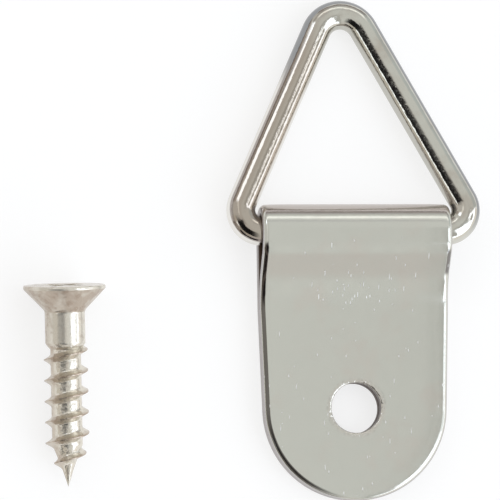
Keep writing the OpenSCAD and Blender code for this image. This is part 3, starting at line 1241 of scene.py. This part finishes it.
@dataclass
class WoodScrew:
    """The countersunk wood screw: head with a cross recess, shank, thread and point."""

    length: float = 15.8
    thread_r: float = 1.725
    core_r: float = 1.2
    shank_r: float = 1.575
    pitch: float = 1.63
    head_r: float = 3.225
    rim: float = 0.35
    rim_r: float = 0.12
    cone_r: float = 0.1
    head: float = 2.2
    neck_r: float = 0.48
    shank_end: float = 4.6
    taper: float = 3.3
    point_share: float = 0.45
    point_size: float = 0.4
    thread_run_in: float = 0.85
    thread_run_out: float = 0.7
    last_turn: float = 0.53
    cross: float = 3.8
    cross_foot: float = 0.45
    wing: float = 0.9
    wing_foot: float = 0.8
    cross_depth: float = 1.9
    aside: float = 23.2
    along: float = 9.7
    lean: float = 1.3
    crest_side: float = 183.0
    turn_steps: int = 48
    tooth_rows: int = 21
    head_steps: int = 96
    sharp: float = 35.0
    finish: ScrewNickel = field(default_factory=ScrewNickel)

    def __post_init__(self) -> None:
        """Works out the thread's stations."""
        self.taper_z = self.length - self.taper
        self.point_z = self.length - self.taper * self.point_share
        self.thread_z = self.shank_end - self.thread_run_in
        thread = self.point_z + self.thread_run_out - self.thread_z
        self.turns = thread / self.pitch - self.last_turn

    def place(self) -> Matrix:
        """Works out where the screw lies: beside the hanger, on its head's rim and its thread.

        Returns:
            The place, in millimetres.
        """
        tilt = math.atan((self.head_r - self.thread_r) / (self.taper_z - self.rim))
        rest = self.head_r * math.cos(tilt) + self.rim * math.sin(tilt)
        turn = Euler((math.radians(90) + tilt, 0.0, math.radians(self.lean)), "XYZ").to_matrix().to_4x4()
        return Matrix.Translation((-self.aside, self.along, rest)) @ turn

    def tree(self, sizes: Inputs) -> bpy.types.NodeTree:
        """Makes the geometry tree that wraps a flat grid into the threaded core and its point.

        Args:
            sizes: The tree's inputs by name.

        Returns:
            The tree.
        """
        flank, tooth, hollow = 0.25, 0.55, 1.6
        grow_in, fade_out = 0.5, 0.45
        beyond, same = 9.0, 0.0005
        graph, size = new_tree("rolled_thread", sizes)
        calc = graph.math
        flat = graph.out(
            "GeometryNodeMeshGrid",
            {"Size X": 1.0, "Size Y": 1.0, "Vertices X": size["Columns"], "Vertices Y": size["Rows"]},
        )
        share, phase, _ = graph.split(graph.out("GeometryNodeInputPosition"))
        share, phase = calc("ADD", share, 0.5), calc("ADD", phase, 0.5)
        whole = calc("ADD", size["Turns"], calc("MULTIPLY", size["Spare turns"], 2.0))
        turn = calc("SUBTRACT", calc("MULTIPLY", share, whole), size["Spare turns"])
        raw = calc("MULTIPLY", size["Pitch"], calc("ADD", turn, phase))
        raw = calc("ADD", size["Thread start"], raw)
        z = calc("MINIMUM", calc("MAXIMUM", raw, size["Top"]), size["Length"])
        spans = (
            (size["Taper start"], size["Point start"], size["Core radius"], size["Point radius"]),
            (size["Point start"], size["Length"], size["Point radius"], 0.0),
        )
        taper, point = (
            graph.out(
                "ShaderNodeMapRange",
                {"Value": z, "From Min": start, "From Max": end, "To Min": low, "To Max": high},
            )
            for start, end, low, high in spans
        )
        before_point = calc("MULTIPLY", beyond, calc("LESS_THAN", z, size["Point start"]))
        core = calc("MINIMUM", taper, calc("ADD", point, before_point))
        core = calc("MULTIPLY", core, calc("GREATER_THAN", raw, size["Top"]))
        rise, fall = (calc("DIVIDE", side, flank) for side in (phase, calc("SUBTRACT", tooth, phase)))
        crest = calc("POWER", calc("MAXIMUM", calc("MINIMUM", rise, fall, 1.0), 0.0), hollow)
        grow = calc("DIVIDE", turn, grow_in)
        fade = calc("DIVIDE", calc("SUBTRACT", size["Turns"], turn), fade_out)
        crest = calc("MULTIPLY", crest, calc("MAXIMUM", calc("MINIMUM", grow, fade, 1.0), 0.0))
        radius = calc("ADD", core, calc("MULTIPLY", size["Thread height"], crest))
        angle = calc("ADD", size["First angle"], calc("MULTIPLY", turn, math.tau))
        x, y = (calc("MULTIPLY", radius, calc(way, angle)) for way in ("COSINE", "SINE"))
        marked = graph.out(
            "GeometryNodeStoreNamedAttribute",
            {"Geometry": flat, "Name": self.finish.crest_mark, "Value": crest},
            data_type="FLOAT",
            domain="POINT",
        )
        wrapped = graph.out("ShaderNodeCombineXYZ", {"X": x, "Y": y, "Z": z})
        moved = graph.out("GeometryNodeSetPosition", {"Geometry": marked, "Position": wrapped})
        joined = graph.out("GeometryNodeMergeByDistance", {"Geometry": moved, "Distance": same})
        end_tree(graph, joined, size["Material"])
        return graph.tree

    def threaded_core(self, material: bpy.types.Material) -> bpy.types.Mesh:
        """Makes the threaded core with its point.

        Args:
            material: The screw's finish.

        Returns:
            The core, in millimetres.
        """
        spare, buried = 1.25, 0.6
        sizes = {
            "Pitch": self.pitch,
            "Thread start": self.thread_z,
            "Turns": self.turns,
            "Spare turns": spare,
            "Thread height": self.thread_r - self.core_r,
            "Core radius": self.core_r,
            "Point radius": self.core_r * self.point_size,
            "Taper start": self.taper_z,
            "Point start": self.point_z,
            "Length": self.length,
            "Top": self.head + buried,
            "First angle": math.radians(self.crest_side),
            "Columns": round((self.turns + 2 * spare) * self.turn_steps) + 1,
            "Rows": self.tooth_rows,
            "Material": material,
        }
        return grown("threaded_core", bpy.data.meshes.new("thread_seed"), self.tree(sizes), sizes)

    def blank(self) -> bmesh.types.BMesh:
        """Makes the head and the smooth shank, turned in one piece.

        Returns:
            The blank, in millimetres.
        """
        support, loop, shank_bevel, core_gap = 0.04, 0.1, 0.03, 0.05
        cone_turn, neck_from = 42, -135
        rim_steps, cone_steps, neck_steps = 6, 4, 8
        neck = self.shank_end + self.shank_r - self.core_r
        cone_z = self.rim - self.cone_r
        profile = [(0.0, 0.0), (self.head_r / 2, 0.0), (self.head_r - self.rim_r - support, 0.0)]
        profile += arc((self.head_r - self.rim_r, self.rim_r), self.rim_r, -90, 0, rim_steps)
        profile += [(self.head_r, cone_z)]
        profile += arc((self.head_r - self.cone_r, cone_z), self.cone_r, 0, cone_turn, cone_steps)
        profile += arc((self.shank_r + self.neck_r, self.head), self.neck_r, neck_from, -180, neck_steps)
        profile += [(self.shank_r, self.head + loop * k) for k in (1, 2)]
        profile += [(self.shank_r, self.shank_end - loop * k) for k in (2, 1)]
        profile += [(self.shank_r - shank_bevel, self.shank_end), (self.core_r + core_gap, neck), (0.0, neck)]
        turns = [math.tau * k / self.head_steps for k in range(self.head_steps)]
        mesh = bmesh.new()
        rows = [[(r * math.cos(a), r * math.sin(a), z) for a in turns] for r, z in profile]
        add_grid(mesh, rows, closed=True)
        weld(mesh)
        return mesh

    def recess(self) -> bmesh.types.BMesh:
        """Makes the solid that cuts the cross recess: two tapered wings.

        Returns:
            The cutter, in millimetres.
        """
        over, first_wing = 0.3, 45.0
        mesh = bmesh.new()
        reach, wing = self.cross / 2, self.wing / 2
        spread = reach * (1 - self.cross_foot) / self.cross_depth
        ends = (
            (-over, reach + over * spread, wing),
            (self.cross_depth, reach * self.cross_foot, wing * self.wing_foot),
        )
        for turn in (first_wing, first_wing + 90):
            spin = Matrix.Rotation(math.radians(turn), 3, "Z")
            rows = [
                [tuple(spin @ Vector((x, y, z))) for x, y in ((-u, -v), (u, -v), (u, v), (-u, v))]
                for z, u, v in ends
            ]
            add_grid(mesh, rows, closed=True)
        bmesh.ops.holes_fill(mesh, edges=[e for e in mesh.edges if e.is_boundary])
        bmesh.ops.recalc_face_normals(mesh, faces=mesh.faces)
        return mesh

    def cone_brown(self, place: Vector) -> float:
        """Works out how brown the head is.

        Args:
            place: A point of the head, in millimetres.

        Returns:
            1 on the cone under the head, and 0 on its top, its recess and the shank.
        """
        skin, rim_part, shank_part = 0.01, 0.06, 0.1
        on_cone = math.hypot(place.x, place.y) > self.shank_r + skin
        return 1.0 if on_cone and self.rim - rim_part < place.z < self.head + shank_part else 0.0

    def shade_sides(self, mesh: bmesh.types.BMesh, place: Matrix) -> None:
        """Paints shade, as brown, on the sides that face away from above where the screw lies.

        Args:
            mesh: The screw, before it is placed.
            place: Where it lies.
        """
        side_from, most, right_share, crest_share = (0.9, 0.4), 0.62, 0.45, 0.75
        turn = place.to_3x3().inverted()
        above, right = turn @ Vector((0.0, 0.0, 1.0)), turn @ Vector((1.0, 0.0, 0.0))
        mesh.normal_update()
        layer = mesh.verts.layers.float[self.finish.crest_mark]
        for vert in mesh.verts:
            # Painted shade, laid on as brown, on the sides that face away from above; less on the right.
            share = most * (right_share if vert.normal.dot(right) > 0 else 1.0)
            side = share_of(vert.normal.dot(above), *side_from) * share
            vert[layer] = max(vert[layer] * crest_share, side)

    def build(self) -> bpy.types.Object:
        """Makes the screw as one piece, lying beside the hanger.

        Returns:
            The screw.
        """
        name = "countersunk_screw"
        material = self.finish.material()
        here = Matrix.Identity(4)
        piece = to_object("screw_blank", plain_mesh("screw_blank", self.blank()), here, self.sharp)
        cutter = to_object("recess_cutter", plain_mesh("recess_cutter", self.recess()), here, self.sharp)
        cut = piece.modifiers.new("recess", "BOOLEAN")
        cut.object, cut.operation, cut.solver, cut.use_self = cutter, "DIFFERENCE", "EXACT", True
        head = evaluated("screw_head", piece)
        bpy.data.objects.remove(cutter)
        brown_and_shade_share = head.attributes.new(self.finish.crest_mark, "FLOAT", "POINT")
        brown_and_shade_share.data.foreach_set("value", [self.cone_brown(v.co / MM) for v in head.vertices])
        head.transform(Matrix.Scale(1 / MM, 4))
        whole = bmesh.new()
        whole.from_mesh(head)
        whole.from_mesh(self.threaded_core(material))
        bmesh.ops.recalc_face_normals(whole, faces=whole.faces)
        place = self.place()
        self.shade_sides(whole, place)
        screw = to_object(name, plain_mesh(name, whole), place, self.sharp)
        screw.data.materials.append(material)
        return screw

    def dress(self, piece: bpy.types.Object) -> None:
        """Gives the screw its place in the part.

        Args:
            piece: The screw, which already has its finish.
        """
        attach(piece, Body.SCREW.value)
        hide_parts("wood_screw")


@dataclass
class Studio:
    """The pale floor, the soft room around the object and the camera."""

    floor_tone: float = 0.3
    floor_lift: float = 0.735
    floor_r: float = 2500.0
    floor_z: float = -0.02
    floor_sides: int = 64
    sharp: float = 30.0
    white: Colour = (1.0, 1.0, 1.0)
    ceiling: Colour = (0.76, 0.77, 0.755)
    ceiling_left: Colour = (0.7, 0.69, 0.67)
    ceiling_right: Colour = (0.57, 0.575, 0.56)
    ceiling_near: Colour = (0.8, 0.81, 0.795)
    window: Colour = (2.1, 2.25, 2.5)
    sill: Colour = (1.0, 0.97, 0.94)
    tube: Colour = (1.7, 1.8, 1.9)
    strip: Colour = (2.1, 2.25, 2.5)
    glint: Colour = (1.1, 1.1, 1.07)
    back_light: Colour = (1.5, 1.5, 1.48)
    back_beam: Colour = (0.6, 0.6, 0.61)
    back_wall: Colour = (0.31, 0.275, 0.27)
    left_wall: Colour = (0.43, 0.385, 0.36)
    near_wall: Colour = (0.74, 0.705, 0.69)
    cool_wall: Colour = (0.62, 0.66, 0.67)
    warm_wall: Colour = (0.66, 0.62, 0.56)
    dark: Colour = (0.012, 0.012, 0.013)
    below: Colour = (0.8, 0.8, 0.79)
    lamp_size: float = 1.2
    lamp_power: float = 1.0
    lamp_z: float = 1.0
    target: Point = (0.0, 8.0, 1.0)
    target_px: Pair = (352.85, 307.2)
    picture_px: float = 500.0
    px_per_mm: float = 12.64
    distance: float = 400.0
    from_left: float = 10.0
    from_below: float = 4.0
    roll: float = 0.97
    sensor: float = 36.0
    clip: Pair = (0.01, 100.0)

    def seen_white(self, graph: Graph) -> Socket:
        """Returns 1 for rays that come from the camera, a mirror or glass, in the floor's graph."""
        rays = graph.add("ShaderNodeLightPath").outputs
        return graph.any_of(*(rays[f"Is {kind} Ray"] for kind in ("Camera", "Glossy", "Transmission")))

    def floor(self) -> None:
        """Adds the pale floor, which is clear from below."""
        mesh = bmesh.new()
        bmesh.ops.create_circle(mesh, cap_ends=True, segments=self.floor_sides, radius=self.floor_r)
        place = Matrix.Translation((0.0, 0.0, self.floor_z))
        piece = to_object("floor", plain_mesh("floor", mesh), place, self.sharp)
        material, graph = new_material("pale_floor")
        matt = graph.out("ShaderNodeBsdfDiffuse", {"Color": (self.floor_tone,) * 3})
        lift = graph.math("MULTIPLY", self.seen_white(graph), self.floor_lift)
        glow = graph.out("ShaderNodeEmission", {"Color": self.white, "Strength": lift})
        lit = graph.out("ShaderNodeAddShader", {"Shader": matt, "Shader_001": glow})
        clear = graph.out("ShaderNodeBsdfTransparent")
        back = graph.add("ShaderNodeNewGeometry").outputs["Backfacing"]
        both = graph.out("ShaderNodeMixShader", {"Fac": back, "Shader": lit, "Shader_001": clear})
        graph.add("ShaderNodeOutputMaterial", {"Surface": both})
        piece.data.materials.append(material)

    def walls(self, room: RoomGraph) -> list[tuple[Socket, Colour]]:
        """Lists the ceiling's and the walls' colours, and the lamps on the far and the left wall.

        Args:
            room: The room's graph.

        Returns:
            Each colour's mask and the colour, from the lowest layer up.
        """
        x, y, z = room.x, room.y, room.z
        near = room.sector(azimuth=-95, half=40, soft=20)
        cool = room.sector(azimuth=28, half=20, soft=20)
        back = room.sector(azimuth=82, half=30, soft=12)
        out, side = room.lane(azimuth=155.5, start=(0.056, 0.237))
        left = room.all_of(room.ramp(out, 0.85, 0.89), room.ramp(side, 0.25, 0.15))
        strip = room.all_of(room.between(out, 0.57, 0.79, soft=0.02), room.ramp(side, 0.14, 0.07))
        out, side = room.lane(azimuth=110, start=(-0.41, 0.1))
        glint = room.all_of(room.between(out, 0.0, 0.3, soft=0.06), room.ramp(side, 0.1, 0.03))
        return [
            (room.ramp(x, 0.1, -0.2), self.ceiling_left),
            (room.all_of(near, room.between(z, 0.6, 0.85, soft=0.15)), self.ceiling_near),
            (room.all_of(near, room.ramp(z, 0.7, 0.22)), self.near_wall),
            (room.all_of(room.ramp(x, 0.18, 0.25), room.ramp(y, 0.2, 0.16)), self.ceiling_right),
            (room.all_of(cool, room.ramp(z, 0.6, 0.4)), self.cool_wall),
            (room.all_of(back, room.ramp(z, 0.48, 0.05)), self.back_wall),
            (room.all_of(back, room.between(z, 0.51, 0.57, soft=0.08)), self.back_light),
            (room.all_of(back, room.between(z, 0.74, 0.77, soft=0.03)), self.back_beam),
            (left, self.left_wall),
            (strip, self.strip),
            (glint, self.glint),
        ]

    def openings(self, room: RoomGraph) -> list[tuple[Socket, Colour]]:
        """Lists the colours of the window, of the dark corner opposite and of what is below.

        Args:
            room: The room's graph.

        Returns:
            Each colour's mask and the colour, from the lowest layer up.
        """
        x, y, z = room.x, room.y, room.z
        window = room.sector(azimuth=-29, half=36, soft=6)
        low_panes = room.all_of(window, room.ramp(z, 0.52, 0.48))
        side_panes = room.all_of(room.ramp(x, 0.47, 0.5), room.between(y, 0.05, 0.12, soft=0.02))
        tip = room.any_of(room.ramp(x, 0.3, 0.36), room.ramp(y, -0.11, -0.16))
        tall_panes = room.all_of(room.wedge(start=(0.27, -0.04), heading=-40, fan=0.58), tip)
        tube = room.all_of(room.between(x, 0.6, 0.7, soft=0.02), room.between(y, -0.08, 0.03, soft=0.02))
        warm = room.all_of(room.sector(azimuth=217, half=26, soft=12), room.ramp(z, 0.62, 0.58))
        out, side = room.lane(azimuth=209, start=(0.011, 0.093))
        far = room.ramp(out, 0.91, 0.87)
        stripe = room.all_of(room.ramp(out, 0.08, 0.36), far, room.ramp(side, 0.07, 0.03))
        corner = room.sector(azimuth=228, half=18, soft=32)
        arch = room.all_of(corner, room.between(room.flat, 0.38, 0.84, soft=0.03))
        skirting = room.all_of(room.sector(azimuth=244, half=20, soft=6), room.ramp(z, 0.26, 0.22))
        return [
            (tube, self.tube),
            (room.any_of(low_panes, side_panes, tall_panes), self.window),
            (room.all_of(window, room.ramp(z, 0.36, 0.28)), self.sill),
            (warm, self.warm_wall),
            (room.any_of(stripe, arch, skirting), self.dark),
            (room.all_of(room.between(out, 0.92, 0.96, soft=0.012), room.ramp(side, 0.12, 0.08)), self.tube),
            (room.ramp(z, 0.0, -0.02), self.below),
        ]

    def room(self) -> None:
        """Sets the world: a plain room with a window, lamps and a dark corner, which bright metal mirrors."""
        world = bpy.data.worlds.new("plain_room")
        world.use_nodes = True
        bpy.context.scene.world = world
        room = RoomGraph(world.node_tree)
        colour = room.paint(self.ceiling, *self.walls(room), *self.openings(room))
        sky = room.out("ShaderNodeBackground", {"Color": colour, "Strength": 1.0})
        room.add("ShaderNodeOutputWorld", {"Surface": sky})

    def lamp(self) -> None:
        """Adds a large soft lamp overhead for the floor's light, which metal doesn't mirror."""
        data = bpy.data.lights.new("soft_lamp", "AREA")
        data.shape, data.size, data.energy = "DISK", self.lamp_size, self.lamp_power
        lamp = bpy.data.objects.new("soft_lamp", data)
        lamp.location = (0.0, 0.0, self.lamp_z)
        lamp.visible_glossy = False
        lamp.visible_camera = False
        bpy.context.scene.collection.objects.link(lamp)

    def camera(self) -> None:
        """Sets the camera at the photograph's viewing angle."""
        left, low, lean = (math.radians(a) for a in (self.from_left, self.from_below, self.roll))
        back = Vector((-math.sin(left), -math.sin(low), 1.0)).normalized()
        right = Vector((0.0, 1.0, 0.0)).cross(back).normalized()
        up = back.cross(right)
        across = right * math.cos(lean) - up * math.sin(lean)
        above = right * math.sin(lean) + up * math.cos(lean)
        middle = self.picture_px / 2
        aim = Vector(self.target)
        aim += across * ((middle - self.target_px[0]) / self.px_per_mm)
        aim += above * ((self.target_px[1] - middle) / self.px_per_mm)
        eye = Vector(self.target) + back * self.distance
        depth = (eye - aim).normalized()
        across = above.cross(depth).normalized()
        above = depth.cross(across)
        data = bpy.data.cameras.new("camera")
        data.sensor_width = self.sensor
        data.lens = self.px_per_mm * self.distance * self.sensor / self.picture_px
        data.clip_start, data.clip_end = self.clip
        camera = bpy.data.objects.new("camera", data)
        turn = Matrix((across, above, depth)).transposed().to_4x4()
        camera.matrix_world = Matrix.Translation(eye * MM) @ turn
        bpy.context.scene.collection.objects.link(camera)
        bpy.context.scene.camera = camera

    def build(self) -> None:
        """Makes the floor, the room, the lamp and the camera."""
        self.floor()
        self.room()
        self.lamp()
        self.camera()
        bpy.context.scene.view_settings.view_transform = "Standard"


def main() -> None:
    """Builds the studio and the hanger's three pieces."""
    logging.basicConfig(level=logging.INFO, format="%(name)s: %(message)s")
    Studio().build()
    for maker in (FoldedStrap(), TriangleRing(), WoodScrew()):
        piece = maker.build()
        maker.dress(piece)
        log.info("%s: %d faces", piece.name, len(piece.data.polygons))


if __name__ == "__main__":
    main()
